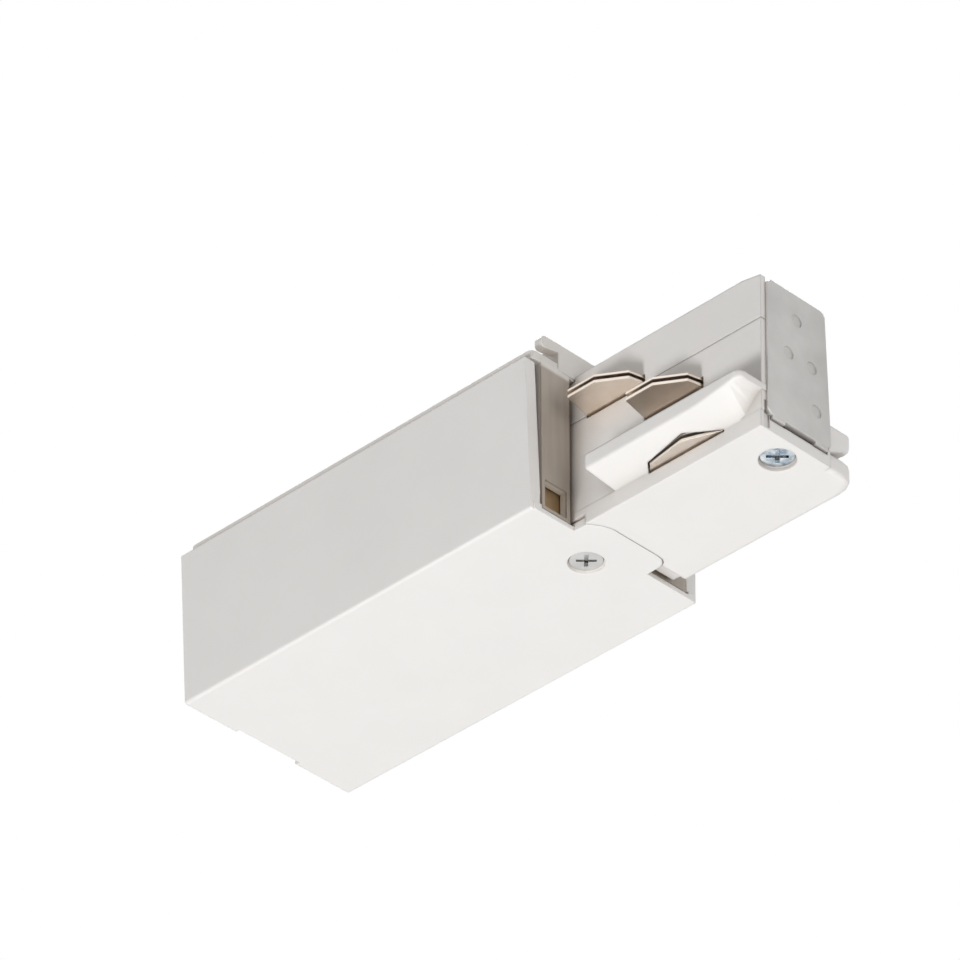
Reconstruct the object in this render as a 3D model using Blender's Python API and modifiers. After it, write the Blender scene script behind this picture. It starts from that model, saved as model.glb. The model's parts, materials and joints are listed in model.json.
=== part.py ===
"""Lighting track connector: the live end of a surface-mounted lighting track.

It is modelled as it hangs: +Z points up to the ceiling, the underside lies at Z = 0 and +X points to
the adapter that slides into the track. Lengths are in metres. Every piece is parented to one empty
at the closed end of the cover, so that X is counted from there and Y from the middle of the cover.
"""

import bpy
import bmesh
from math import cos, hypot, pi, radians, sin

# Clearances
gap = 0.0003                      # between pieces that touch
seam = 0.00012                    # along a seam between two mouldings
running_gap = 0.0003              # round shafts in their holes, on the radius
step = 0.0001                     # keeps two faces of one piece out of one plane
bite = 0.0010                     # how far a lump runs into what carries it
past = 0.0020                     # how far a cutter runs past what it cuts
bore_turn = 0.1                   # radians
weld = 0.000001
smooth_angle = 40                 # degrees

# Poles, which set the width of the cover
pole_count = 5
pole_pitch = 0.0056
terminal_end_wall = 0.0004
terminal_clearance = 0.0010       # from the terminal block to the cover's walls

# Cover
cover_length = 0.0738             # along the underside
cover_height = 0.0272
cover_draft = 0.00085             # each wall leans out by this much at its rim
cover_end_lean = 0.0007           # the open end leans back by this much at its rim
cover_wall = 0.0021
cover_floor = 0.0014
cover_edge_radius = 0.0005
cover_floor_rebate = 0.0006       # the floor is thinner under the end panels
floor_lip = 0.00035               # the floor runs on past the walls' ends
tongue_length = 0.0043
tongue_overhang = 0.0010          # past the adapter's far side
knockout_width = 0.0128
knockout_height = 0.0150
knockout_depth = 0.0010
knockout_middle = -0.0003         # y
tongue_slant = 0.0018             # of its corner towards the near side
tongue_curve = 0.0005
tongue_corner = 0.0024
guide_rib_thickness = 0.0011
guide_rib_first = 0.0220          # from the closed end
guide_rib_last = 0.0218           # from the open end

# Base tray
flange_thickness = 0.0015
flange_inset = 0.0011             # behind the cover's rim, all round
flange_corner = 0.0012
standoff_height = 0.0037          # above the flange, up to the ceiling
standoff_inset = 0.0029           # in from the terminal block's sides
standoff_start = 0.0042
standoff_wall = 0.0015
standoff_corner = 0.0002
slot_width = 0.0038               # for a 3.5 mm ceiling screw
slot_length = 0.0050
slot_rim = 0.0016
slot_rim_drop = 0.0004            # below the ceiling
slot_first = 0.0084               # from the closed end
slot_last = 0.0044                # before the terminals
entry_width = 0.0105              # cable entry, across
entry_margin = 0.0008             # before and after it
entry_roundness = 10 / 21         # corner radius, of its shorter side
end_panel_thickness = 0.0014
end_panel_setback = 0.0002        # behind the cover's end
end_panel_side_gap = 0.0001
window_height = 0.0048
window_sill = 0.0017
window_side = 0.0006              # frame between the window and the panel's outer edge
window_frame = 0.0007             # and its inner edge
hook_thickness = 0.0014
hook_reach = 0.0153               # y of the arm's tip
hook_arm_height = 0.0024
hook_arm_rise = 0.0007            # the arm is thinner at its root
hook_arm_radius = 0.0010
location_rib_thickness = 0.0010
location_rib_height = 0.0030
location_rib_start = 0.0060
location_rib_setback = 0.0038
terminal_stop_half = 0.0040
terminal_stop_height = 0.0028

# Adapter
adapter_length = 0.0380           # from the cover's end to the nose
adapter_middle = -0.0017          # y of its centre plane
block_width = 0.0148
block_draft = 0.0006              # each side leans in by this much at the top
block_drop = 0.0047               # from the ceiling to its top
block_nose_slope = 0.0011         # drop of the top towards the nose
block_nose_run = 0.0040
block_wall = 0.0019
block_floor = 0.0020
block_foot = 0.0010
front_wall = 0.0015
block_roof = 0.0015
block_lead = 0.0016               # it starts this far inside the cover
seam_drop = 0.0085                # from the block's top to the seam between its halves
plate_thickness = 0.0029
plate_gap = 0.0031                # from the cover's end to the wing
wing_reach = 0.0064               # of the plate past the block's far side
wing_setback = 0.0010             # behind the nose
wing_corner = 0.0034
wing_edge_radius = 0.0009
ridge_width = 0.0049              # out of the block's side
ridge_top = 0.0075
ridge_edge = 0.0050               # foot of the ridge's outer face
ridge_foot = 0.0028               # where its sloped underside meets the block
ridge_offset = 0.0072             # from the cover's end
ridge_lean = 0.0014               # its start is cut at a slant
ridge_taper = 0.0090              # it grows thinner over this length at the nose
ridge_lifts = {-1: 0.0012, 1: 0.0}   # of the near and the far one's edge
ridge_rises = {-1: 0.0037, 1: 0.0}   # and of its foot
ridge_run = 0.0045                # over this length
ridge_corner = 0.0013
ridge_setbacks = {-1: 0.0002, 1: 0.0004}
ridge_edge_radii = {-1: 0.0004, 1: 0.0013}
tail_length = 0.0118              # inside the cover
tail_floor = 0.0017
tail_top = 0.0080
tail_step = 0.0009                # from the seam to the foot of the upper tail
tunnel_setback = 0.0036           # of the earth strip's passage behind the tail's end
cap_thickness = 0.0012
cap_near_inset = 0.0013
cap_corner = 0.0004
wall_lip = 0.0004                 # thin ends of the block's walls beside the cap
nose_setback = 0.0005             # of the plate's end below the cap
nose_lip_height = 0.0029
wall_setback = 0.0004             # of the block's walls beside the cap
nose_notch = (0.0007, 0.0018)     # y from the near side
cap_tab_height = 0.0008
cap_tab_width = 0.0026
cap_tab_places = (-0.0039, 0.0052)
cap_pin = 0.0014
cap_pin_length = 0.0030
cap_pin_places = ((0.0004, 0.0044), (-0.0016, 0.0112), (0.0034, 0.0114), (0.0041, 0.0188))
dimple_radius = 0.0011
dimple_depth = 0.0003

# Contacts
sheet = 0.0005                    # thickness of a contact strip
leaf = 0.0004                     # thickness of a blade's second leaf
leaf_pitch = 0.0011               # from one leaf's foot to the other's
blade_reach = 0.0050              # out of the block's side
blade_length = 0.0113
blade_nose = 0.0049               # length of the chamfer towards the track
blade_offset = 0.0029             # from the cover's end to the first blade
blade_step = 0.0117               # and on to the second
blade_lean = 0.0010
blade_hip = 0.44                  # where its chamfer meets its steep end, of its reach
blade_1_drop = 0.0086             # from the block's top to the foot of the lower leaf
blade_2_drop = 0.0151
earth_offset = 0.0156             # from the cover's end
earth_length = 0.0144
earth_reach = 0.0022
earth_lean = 0.0010
earth_run = 0.0061                # length of its low side towards the nose
earth_shoulder = 0.5
earth_level = 0.0028
earth_crossing = 0.0042
earth_setback = 0.0016            # behind the end panel
leg_width = 0.0017
tail_width = 0.0026
drop_offset = 0.0009              # from the tongue's end to where two contacts step down
strip_bend = 0.0022               # from the terminals to the first bend

# Terminals
terminal_setback = 0.0318         # from the cover's end
terminal_length = 0.0120
terminal_height = 0.0152
cage_offset = 0.0053
cage_width = 0.0038
cage_length = 0.0050
cage_height = 0.0066
cage_wall = 0.0005
cage_plate = 0.0012
cage_travel = 0.0024
wire_width = 0.0036
wire_height = 0.0044
terminal_shank = 0.00125
terminal_head = 0.0018
terminal_head_height = 0.0013
terminal_pocket = 0.0017          # depth of the recess for the head
terminal_slot = 0.0006            # width and depth of the screwdriver slot

# Screws
cover_screw_setback = 0.0044      # from the cover's end
lock_screw_setback = 0.0047       # from the nose
lock_shift = 0.0006               # from the adapter's centre plane
big_head = 0.00255                # head radius of the cover screw and the lock screw
big_shank = 0.0014
big_cone = 0.0013
big_rim = 0.0001
cross_width = 0.0006
cross_depth = 0.0009
cover_screw_sink = 0.0004
cover_screw_length = 0.0075
lock_screw_sink = 0.0006
lock_screw_length = 0.0105
lock_boss = 0.0032
lock_boss_height = 0.0044
lock_plate_thickness = 0.0012
lock_plate_level = 0.0059
lock_plate_width = 0.0050
lock_plate_inner = 0.0040         # from the lock screw
lock_plate_inset = 0.0008         # behind the ridge's outer face
lock_travel = 0.0010
fixing_setback = 0.0073           # from the cover's end
fixing_spread = 0.0078
fixing_head = 0.0025
fixing_head_height = 0.0014
fixing_shank = 0.0012
fixing_length = 0.0080

# Cord clamp
clamp_share = 22 / 59             # before the terminals, of the room from the first slot to them
clamp_inset = 0.0021              # in from the terminal block's sides
clamp_width = 0.0060
clamp_thickness = 0.0020
clamp_drop = 0.0118               # below the flange
clamp_end = 0.0031                # from its screws to its ends
clamp_corner = 0.0015
clamp_post = 0.0029
clamp_head = 0.0024
clamp_head_height = 0.0013
clamp_shank = 0.0012
clamp_screw_length = 0.0100
tooth_gap = 0.0015                # from the posts
tooth_half = 0.0008
tooth_height = 0.0010

# Worked out from the above: across
terminal_side = pole_pitch * pole_count / 2 + terminal_end_wall
pole_rows = [pole_pitch * (pole - (pole_count - 1) / 2) for pole in range(pole_count)]
inner_half = terminal_side + terminal_clearance
cover_width = 2 * (inner_half + cover_wall)
end_panel_half_width = inner_half - end_panel_side_gap
standoff_half_width = terminal_side - standoff_inset
hook_half_width = standoff_half_width + gap
near = adapter_middle - block_width / 2       # y of the block's near face
far = adapter_middle + block_width / 2
window_low = -end_panel_half_width + window_side
window_high = near - gap - window_frame
leg_low = near + block_wall + gap
leg_step = (block_width - 2 * block_wall - 2 * gap - leg_width) / 3
legs = [leg_low + leg_width / 2 + leg_step * index for index in range(4)]
lock_middle = adapter_middle + lock_shift
clamp_half_length = terminal_side - clamp_inset
clamp_spread = clamp_half_length - clamp_end

# Worked out: up
rim = cover_height + gap                      # underside of the flange
flange_top = rim + flange_thickness
end_panel_foot = cover_floor - cover_floor_rebate + gap
flange_middle = rim + flange_thickness / 2
tray_height = flange_top + standoff_height    # the ceiling
block_height = tray_height - block_drop
seam_height = block_height - seam_drop
cap_top = block_height - block_nose_slope
cap_foot = nose_lip_height + seam
tail_roof = seam_height + tail_step
blade_1_level = block_height - blade_1_drop
blade_2_level = block_height - blade_2_drop
strip_top = blade_1_level + sheet
terminal_top = rim - gap
terminal_foot = terminal_top - terminal_height
cage_foot = blade_1_level - 2 * gap - cage_plate
head_pocket = terminal_foot + terminal_pocket
cage_cavity = cage_foot - cage_travel - gap
clamp_level = rim - clamp_drop
post_foot = clamp_level + clamp_thickness + gap

# Worked out: along
overall_length = cover_length + adapter_length
middle = (overall_length - cover_draft) / 2
nose = overall_length - cap_thickness         # end of the housings behind the cap
nose_face = overall_length - wall_setback     # end of their walls beside it
plate_end = overall_length - nose_setback
block_start = cover_length - block_lead
cavity_start = cover_length + tongue_length
plate_start = cover_length + plate_gap
end_panel_face = cover_length - end_panel_setback
end_panel_back = end_panel_face - end_panel_thickness
tail_start = cover_length - tail_length
ridge_start = cover_length + ridge_offset
blade_1_start = cover_length + blade_offset
blade_2_start = blade_1_start + blade_step
earth_start = cover_length + earth_offset
drop_place = cavity_start + drop_offset
terminal_start = cover_length - terminal_setback
terminal_end = terminal_start + terminal_length
cage_centre = terminal_start + cage_offset
slot_places = (slot_first, terminal_start - slot_last)
first_slot_end = slot_first + slot_length / 2 + slot_rim
clamp_place = terminal_start - (terminal_start - first_slot_end) * clamp_share
entry_start = first_slot_end + entry_margin
entry_end = clamp_place - clamp_post - entry_margin
entry_corner = min(entry_width, entry_end - entry_start) * entry_roundness
cover_screw_place = cover_length - cover_screw_setback
fixing_place = cover_length - fixing_setback
lock_screw_place = overall_length - lock_screw_setback
earth_drop = end_panel_back - earth_setback


def clear_scene():
    for thing in list(bpy.data.objects):
        bpy.data.objects.remove(thing, do_unlink=True)


def new_group(name):
    group = bpy.data.collections.new(name)
    bpy.context.scene.collection.children.link(group)
    return group


def finish(name, colour, roughness, metallic=0.0):
    material = bpy.data.materials.new(name)
    material.use_nodes = True
    shader = material.node_tree.nodes["Principled BSDF"]
    shader.inputs["Base Color"].default_value = (*colour, 1)
    shader.inputs["Roughness"].default_value = roughness
    shader.inputs["Metallic"].default_value = metallic
    return material


clear_scene()
parts = new_group("lighting_track_connector")
cutters = new_group("cutters")
datum = bpy.data.objects.new("closed_end", None)
datum.location = (-middle, 0, 0)
parts.objects.link(datum)

white = finish("white_moulding", (0.86, 0.85, 0.83), 0.42)
tray_white = finish("tray_moulding", (0.80, 0.79, 0.76), 0.48)
cap_grey = finish("grey_cap", (0.66, 0.66, 0.66), 0.40)
nickel = finish("nickel_strip", (0.72, 0.67, 0.60), 0.25, 1.0)
brass = finish("brass_strip", (0.74, 0.57, 0.31), 0.32, 1.0)
zinc = finish("zinc_screw", (0.66, 0.69, 0.72), 0.28, 1.0)
grey_steel = finish("grey_screw", (0.52, 0.52, 0.53), 0.42, 1.0)
terminal_white = finish("terminal_moulding", (0.82, 0.81, 0.76), 0.50)


def place_mesh(name, mesh, place=(0, 0, 0), turn=(0, 0, 0)):
    thing = bpy.data.objects.new(name, mesh)
    cutters.objects.link(thing)
    thing.hide_render = True
    thing.display_type = "WIRE"
    thing.parent = datum
    thing.location = place
    thing.rotation_euler = turn
    return thing


def keep(thing, material, smooth=False):
    """A shape made so far as a guide becomes a part of the object."""
    cutters.objects.unlink(thing)
    parts.objects.link(thing)
    thing.hide_render = False
    thing.display_type = "TEXTURED"
    thing.data.materials.clear()
    thing.data.materials.append(material)
    if smooth:
        thing.data.shade_smooth()
        thing.data.set_sharp_from_angle(angle=radians(smooth_angle))
    return thing


def mesh_from(name, shape):
    bmesh.ops.recalc_face_normals(shape, faces=shape.faces)
    if shape.calc_volume(signed=True) < 0:
        bmesh.ops.reverse_faces(shape, faces=shape.faces)
    mesh = bpy.data.meshes.new(name)
    shape.to_mesh(mesh)
    shape.free()
    return mesh


def box(name, low, high, place=(0, 0, 0), turn=(0, 0, 0)):
    """A block between two corners."""
    shape = bmesh.new()
    bmesh.ops.create_cube(shape, size=1)
    for corner in shape.verts:
        corner.co = [top if side > 0 else foot for foot, top, side in zip(low, high, corner.co)]
    return place_mesh(name, mesh_from(name, shape), place, turn)


def side_box(name, along, across, up):
    """A block whose two values across may come in either order."""
    return box(name, (along[0], min(across), up[0]), (along[1], max(across), up[1]))


def leaning_box(name, foot, top, levels, radius=0.0):
    """A block whose foot and top are different rectangles: (x low, x high, y low, y high)."""
    shape = bmesh.new()
    bmesh.ops.create_cube(shape, size=1)
    for corner in shape.verts:
        ring = top if corner.co.z > 0 else foot
        corner.co = (
            ring[1] if corner.co.x > 0 else ring[0],
            ring[3] if corner.co.y > 0 else ring[2],
            levels[1] if corner.co.z > 0 else levels[0],
        )
    if radius:
        open_end = max(foot[1], top[1]) - abs(foot[1] - top[1]) - radius
        outer = [edge for edge in shape.edges if not all(
            corner.co.z == max(c.co.z for c in shape.verts) or corner.co.x > open_end
            for corner in edge.verts)]
        bmesh.ops.bevel(shape, geom=outer, offset=radius, segments=3, profile=0.5, affect="EDGES",
                        clamp_overlap=True)
    return place_mesh(name, mesh_from(name, shape))


def prism(name, outline, low, high, along="Z", holes=()):
    """A flat outline, drawn as a filled curve, given its thickness along one axis.

    Along Z the outline is (x, y), along X it is (y, z) and along Y it is (x, z).
    """
    curve = bpy.data.curves.new(name, "CURVE")
    curve.dimensions = "2D"
    curve.fill_mode = "BOTH"
    curve.extrude = (high - low) / 2
    for ring in (outline, *holes):
        spline = curve.splines.new("POLY")
        spline.points.add(len(ring) - 1)
        for point, (across, up) in zip(spline.points, ring):
            point.co = (across, up, 0, 1)
        spline.use_cyclic_u = True
    drawn = bpy.data.objects.new(name, curve)
    cutters.objects.link(drawn)
    bpy.context.view_layer.update()
    graph = bpy.context.evaluated_depsgraph_get()
    flat = bpy.data.meshes.new_from_object(drawn.evaluated_get(graph))
    bpy.data.objects.remove(drawn, do_unlink=True)
    shape = bmesh.new()
    shape.from_mesh(flat)
    bpy.data.meshes.remove(flat)
    bmesh.ops.remove_doubles(shape, verts=shape.verts, dist=weld)
    bmesh.ops.dissolve_degenerate(shape, edges=shape.edges, dist=weld / 10)
    for corner in shape.verts:
        across, up, side = corner.co
        level = high if side > 0 else low
        corner.co = {"Z": (across, up, level), "X": (level, across, up), "Y": (across, level, up)}[along]
    return place_mesh(name, mesh_from(name, shape))


def loft(name, rings):
    """A closed skin over rings of points (x, y, z), all with the same number of points."""
    shape = bmesh.new()
    loops = [[shape.verts.new(point) for point in ring] for ring in rings]
    count = len(loops[0])
    for before, after in zip(loops, loops[1:]):
        for index in range(count):
            following = (index + 1) % count
            shape.faces.new((before[index], before[following], after[following], after[index]))
    shape.faces.new(loops[0][::-1])
    shape.faces.new(loops[-1])
    return place_mesh(name, mesh_from(name, shape))


def rounded(corners, steps=4):
    """An outline through the corners (across, up, radius), each rounded by an arc."""
    points = []
    for index, (across, up, radius) in enumerate(corners):
        before = corners[index - 1]
        after = corners[(index + 1) % len(corners)]
        if not radius:
            points.append((across, up))
            continue
        back = (before[0] - across, before[1] - up)
        ahead = (after[0] - across, after[1] - up)
        back = (back[0] / hypot(*back), back[1] / hypot(*back))
        ahead = (ahead[0] / hypot(*ahead), ahead[1] / hypot(*ahead))
        for number in range(steps + 1):
            share = number / steps
            first = radius * (1 - share) ** 2
            last = radius * share ** 2
            points.append((across + back[0] * first + ahead[0] * last,
                           up + back[1] * first + ahead[1] * last))
    return points


def rectangle(low, high, radius=0.0, steps=4):
    corners = [(low[0], low[1], radius), (high[0], low[1], radius),
               (high[0], high[1], radius), (low[0], high[1], radius)]
    return rounded(corners, steps)


def slot_outline(centre, length, width, steps=6):
    """A slot along x with round ends."""
    radius = width / 2
    run = length / 2 - radius
    points = []
    for side in (1, -1):
        for number in range(steps + 1):
            angle = side * pi / 2 - pi * number / steps
            points.append((centre[0] + side * run + radius * cos(angle),
                           centre[1] + radius * sin(angle)))
    return points


def turned(name, profile, place, steps=20, turn=0.0):
    """A profile (radius, height), listed from its top down its outer side, turned about Z."""
    mesh = bpy.data.meshes.new(name)
    mesh.from_pydata([(radius * cos(turn), radius * sin(turn), height) for radius, height in profile],
                     [(number, number + 1) for number in range(len(profile) - 1)], [])
    thing = place_mesh(name, mesh, place)
    screw = thing.modifiers.new("turn", "SCREW")
    screw.axis = "Z"
    screw.steps = steps
    screw.render_steps = steps
    screw.use_merge_vertices = True
    screw.merge_threshold = weld
    return thing


def round_bar(name, radius, low, high, place, steps=20, turn=0.0):
    profile = [(0, high), (radius, high), (radius, low), (0, low)]
    return turned(name, profile, (place[0], place[1], 0), steps, turn)


def bore(name, radius, low, high, place, steps=16):
    """A round hole; its facets stand between those of the post round it."""
    return round_bar(name, radius + running_gap, low, high, place, steps, bore_turn)


def boolean(piece, tools, operation):
    for tool in tools:
        change = piece.modifiers.new(operation.lower(), "BOOLEAN")
        change.operation = operation
        change.solver = "EXACT"
        change.object = tool
    return piece


def cut(piece, *tools):
    return boolean(piece, tools, "DIFFERENCE")


def add(piece, *lumps):
    return boolean(piece, lumps, "UNION")


def screw_body(name, head, head_height, shank, length, place, cone=0.0, steps=20):
    """A screw whose head's face looks down, with its origin in that face."""
    point = shank / 2
    profile = [(0, length), (shank - point / 2, length), (shank, length - point),
               (shank, head_height + cone), (head, head_height), (head, 0), (0, 0)]
    if not cone:
        profile[3:4] = [(shank, head_height)]
    return turned(name, profile, place, steps)


def cross_cut(name, width, blade, depth, place):
    """Two crossed bars for a cross recess in a head; one is a little deeper, so no faces coincide."""
    bars = []
    for index, turn in enumerate((pi / 4, 3 * pi / 4)):
        bars.append(box(f"{name}_{index + 1}", (-width / 2, -blade / 2, -depth),
                        (width / 2, blade / 2, depth + step * index), place, (0, 0, turn)))
    return bars


def screw_seat(name, place, sink, top):
    """Room for a sunk screw head from below, a cone and a clear hole."""
    shank = big_shank + running_gap
    head = big_head + running_gap
    profile = [(0, top), (shank, top), (shank, sink + big_cone - gap), (head, sink), (head, -past),
               (0, -past)]
    return turned(name, profile, (*place, 0), turn=bore_turn)


def tongue_outline(spare=0.0, beyond=0.0, start=cover_length - cover_wall):
    """The cover's tongue in plan, or the room for it, which runs out past the adapter's near face."""
    end = cover_length + tongue_length + spare
    low = near + gap
    high = far + tongue_overhang + spare
    return rounded([(start, low - beyond, 0), (end - tongue_slant - beyond * 2 / 3, low - beyond, 0),
                    (end - tongue_slant / 3, low + tongue_slant, tongue_curve),
                    (end, low + 2 * tongue_slant, tongue_curve),
                    (end, high, tongue_corner), (start, high, 0)])


def make_cover():
    half = cover_width / 2
    lean = cover_draft
    outer = leaning_box("cover",
                        (0, cover_length - floor_lip, -half, half),
                        (-lean, cover_length - cover_end_lean, -half - lean, half + lean),
                        (0, cover_height), cover_edge_radius)
    floor_lean = lean * cover_floor / cover_height
    top_lean = lean * (cover_height + past) / cover_height
    cavity = leaning_box("cover_cavity",
                         (cover_wall - floor_lean, cover_length + past,
                          -inner_half - floor_lean, inner_half + floor_lean),
                         (cover_wall - top_lean, cover_length + past,
                          -inner_half - top_lean, inner_half + top_lean),
                         (cover_floor, cover_height + past))
    knockout = box("cover_knockout",
                   (-past, knockout_middle - knockout_width / 2, -past),
                   (knockout_depth, knockout_middle + knockout_width / 2, knockout_height))
    cut(outer, cavity, knockout)
    lip = box("cover_lip", (cover_length - cover_wall, -half + cover_edge_radius, 0),
              (cover_length, half - cover_edge_radius, cover_floor))
    tongue = prism("cover_tongue", tongue_outline(), 0, cover_floor)
    rebates = [side_box(f"cover_rebate_{name}", (end_panel_back - gap, cover_length + past), across,
                        (cover_floor - cover_floor_rebate, cover_floor + past))
               for name, across in (("near", (-end_panel_half_width - gap, near + gap)),
                                    ("far", (end_panel_half_width + gap, far - gap)))]
    add(outer, lip, tongue)
    cut(outer, *rebates)
    ribs = []
    for index, along in enumerate((guide_rib_first, cover_length - guide_rib_last)):
        for side in (-1, 1):
            name = f"cover_rib_{index + 1}_{'near' if side < 0 else 'far'}"
            across = (side * (inner_half + cover_wall / 2), side * (terminal_side + gap))
            ribs.append(side_box(name, (along, along + guide_rib_thickness), across,
                                 (cover_floor / 2, rim - location_rib_height - 2 * gap)))
    add(outer, *ribs)
    cut(outer, screw_seat("cover_screw_seat", (cover_screw_place, adapter_middle), cover_screw_sink,
                          cover_floor + past))
    return keep(outer, white)


def make_cover_screw():
    place = (cover_screw_place, adapter_middle, cover_screw_sink)
    screw = screw_body("cover_screw", big_head, big_rim, big_shank, cover_screw_length, place,
                       big_cone * 0.6)
    cut(screw, *cross_cut("cover_screw_cross", big_head * 1.2, cross_width, cross_depth, place))
    return keep(screw, grey_steel, True)


def make_hook():
    """The plate across the tray's open end, whose arms hook over the track."""
    top = tray_height - step
    arm = tray_height - hook_arm_height
    root = arm + hook_arm_rise
    half = hook_half_width
    foot = rim + gap
    return prism("tray_hook", rounded([
        (-half, foot, 0), (half, foot, 0), (half, root, 0), (hook_reach, arm, hook_arm_radius),
        (hook_reach, top, hook_arm_radius), (-hook_reach, top, hook_arm_radius),
        (-hook_reach, arm, hook_arm_radius), (-half, root, 0)]),
        end_panel_face - hook_thickness, end_panel_face + step, "X")


def make_tray_sides(side):
    """The end panel, location rib and clamp post on one side of the tray."""
    name = "near" if side < 0 else "far"
    inner = near - gap if side < 0 else far + gap
    top = rim + flange_thickness / 2
    rib_edge = inner_half + gap
    panel = side_box(f"tray_panel_{name}", (end_panel_back, end_panel_face),
                     (side * end_panel_half_width, inner), (end_panel_foot, top))
    rib = side_box(f"tray_rib_{name}", (location_rib_start, cover_length - location_rib_setback),
                   (side * rib_edge, side * (rib_edge - location_rib_thickness)),
                   (rim - location_rib_height, top))
    post = round_bar(f"tray_post_{name}", clamp_post, post_foot, top,
                     (clamp_place, side * clamp_spread), 16)
    return panel, rib, post


def make_base_tray():
    half = cover_width / 2 + cover_draft - flange_inset
    start = flange_inset - cover_draft
    flange = prism("base_tray", rectangle((start, -half), (end_panel_face - step, half), flange_corner),
                   rim, flange_top)
    wall = prism("tray_standoff",
                 rectangle((standoff_start, -standoff_half_width),
                           (end_panel_face - gap, standoff_half_width), standoff_corner),
                 flange_top - 2 * step, tray_height,
                 holes=[rectangle((standoff_start + standoff_wall, -standoff_half_width + standoff_wall),
                                  (end_panel_face - hook_thickness + 4 * step,
                                   standoff_half_width - standoff_wall), standoff_corner)])
    add(flange, wall, make_hook(), *make_tray_sides(-1), *make_tray_sides(1))

    slot_rims = [prism(f"tray_slot_rim_{index + 1}",
                       slot_outline((along, 0), slot_length + 2 * slot_rim, slot_width + 2 * slot_rim),
                       flange_top - 2 * step, tray_height - slot_rim_drop)
                 for index, along in enumerate(slot_places)]
    stops = [box(f"tray_stop_{index + 1}", (along, -terminal_stop_half, rim - terminal_stop_height),
                 (along + location_rib_thickness, terminal_stop_half, flange_middle))
             for index, along in enumerate((terminal_start - gap - location_rib_thickness,
                                            terminal_end + gap))]
    add(flange, *slot_rims, *stops)

    slots = [prism(f"tray_slot_{index + 1}", slot_outline((along, 0), slot_length, slot_width),
                   rim - past, tray_height + past) for index, along in enumerate(slot_places)]
    entry = prism("tray_entry",
                  rectangle((entry_start, -entry_width / 2), (entry_end, entry_width / 2), entry_corner, 6),
                  rim - past, tray_height + past)
    window = box("tray_window", (end_panel_back - past, window_low, window_sill),
                 (end_panel_face + past, window_high, window_sill + window_height))
    holes = []
    for name, side in (("near", -1), ("far", 1)):
        holes.append(bore(f"tray_post_hole_{name}", clamp_shank, post_foot - past, rim - gap,
                          (clamp_place, side * clamp_spread)))
        holes.append(bore(f"tray_fixing_hole_{name}", fixing_shank, rim - past, tray_height + past,
                          (fixing_place, adapter_middle + side * fixing_spread / 2)))
    cut(flange, *slots, entry, window, *holes)
    return keep(flange, tray_white)


def lean_at(level):
    """How far each side of the adapter's block leans in at a level."""
    return block_draft * level / block_height


def block_half(name, foot, top):
    """The adapter's body between two levels; it is narrower towards the ceiling."""
    return leaning_box(name, (block_start, nose_face, near + lean_at(foot), far - lean_at(foot)),
                       (block_start, nose_face, near + lean_at(top), far - lean_at(top)), (foot, top))


def cap_outline(foot, top, near_inset, far_inset, radius=0.0):
    """The end cap seen from the nose, or the room for it."""
    return rounded([(near + near_inset + lean_at(foot), foot, radius),
                    (far - far_inset - lean_at(foot), foot, radius),
                    (far - far_inset - lean_at(top), top, radius),
                    (near + near_inset + lean_at(top), top, radius)], 3)


def cap_room(name, foot):
    """Between the walls' thin ends, everything beyond the housings' end belongs to the cap."""
    return prism(name, cap_outline(foot, block_height + past, cap_near_inset - gap, wall_lip),
                 nose, overall_length + past, "X")


def ridge_ring(side, along, lift, rise, draw, lean):
    """The guide ridge's section at one place.

    Its tip may be lifted, its foot raised, its side drawn in and its plane slanted.
    """
    face = adapter_middle + side * block_width / 2
    root = face - side * bite
    tip = face + side * (ridge_width - draw)
    foot = ridge_foot + rise
    edge = foot + (ridge_edge + lift - foot) * (1 - draw / ridge_width)
    section = rounded([(root, ridge_top, 0), (root, foot - step, 0), (face, foot, 0),
                       (tip, edge, ridge_edge_radii[side]), (tip, ridge_top, 0)])
    ring = []
    for across, up in section:
        share = max(0.0, (across - face) * side / ridge_width)
        ring.append((along + lean * (1 - share), across, up))
    return ring


def make_ridge(name, side):
    """A guide ridge: slanted at its start, growing thinner and rounded off at the nose."""
    end = overall_length - ridge_setbacks[side]
    rings = [ridge_ring(side, ridge_start, 0, 0, 0, ridge_lean)]
    stations = [(ridge_taper, 0)] + [(ridge_run * (1 - number / 4), 0) for number in range(3)]
    stations += [(ridge_corner * (1 - sin(number * pi / 8)), ridge_corner * (1 - cos(number * pi / 8)))
                 for number in range(5)]
    for back, draw in stations:
        lift = ridge_lifts[side] * (1 - back / ridge_taper)
        rise = ridge_rises[side] * sin(max(0.0, 1 - back / ridge_run) * pi / 2) ** 2
        rings.append(ridge_ring(side, end - back, lift, rise, draw, 0))
    return loft(name, rings)


def make_wing():
    """The plate's wing past the block's far side, with its lower edge rounded."""
    rings = []
    levels = [(1 - sin(angle), 1 - cos(angle)) for angle in (0, pi / 6, pi / 3, pi / 2)]
    for inset, rise in levels + [(0, plate_thickness / wing_edge_radius)]:
        inset *= wing_edge_radius
        end = overall_length - wing_setback - inset
        side = far + wing_reach - inset
        outline = rounded([(plate_start, far - bite, 0), (end, far - bite, 0),
                           (end, side, wing_corner), (plate_start, side, 0)])
        rings.append([(along, across, rise * wing_edge_radius) for along, across in outline])
    return loft("adapter_wing", rings)


def make_plate():
    """The plate under the adapter, its wing, and the step that fills the corner by the cover."""
    start = cover_length + gap
    plate = prism("adapter_plate", rectangle((start, near), (plate_end, far)), 0, plate_thickness)
    edge = far + tongue_overhang + gap
    corner = box("adapter_step", (start, edge, cover_floor),
                 (plate_start + bite, far + wing_reach - step, plate_thickness - step))
    return plate, make_wing(), corner


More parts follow.
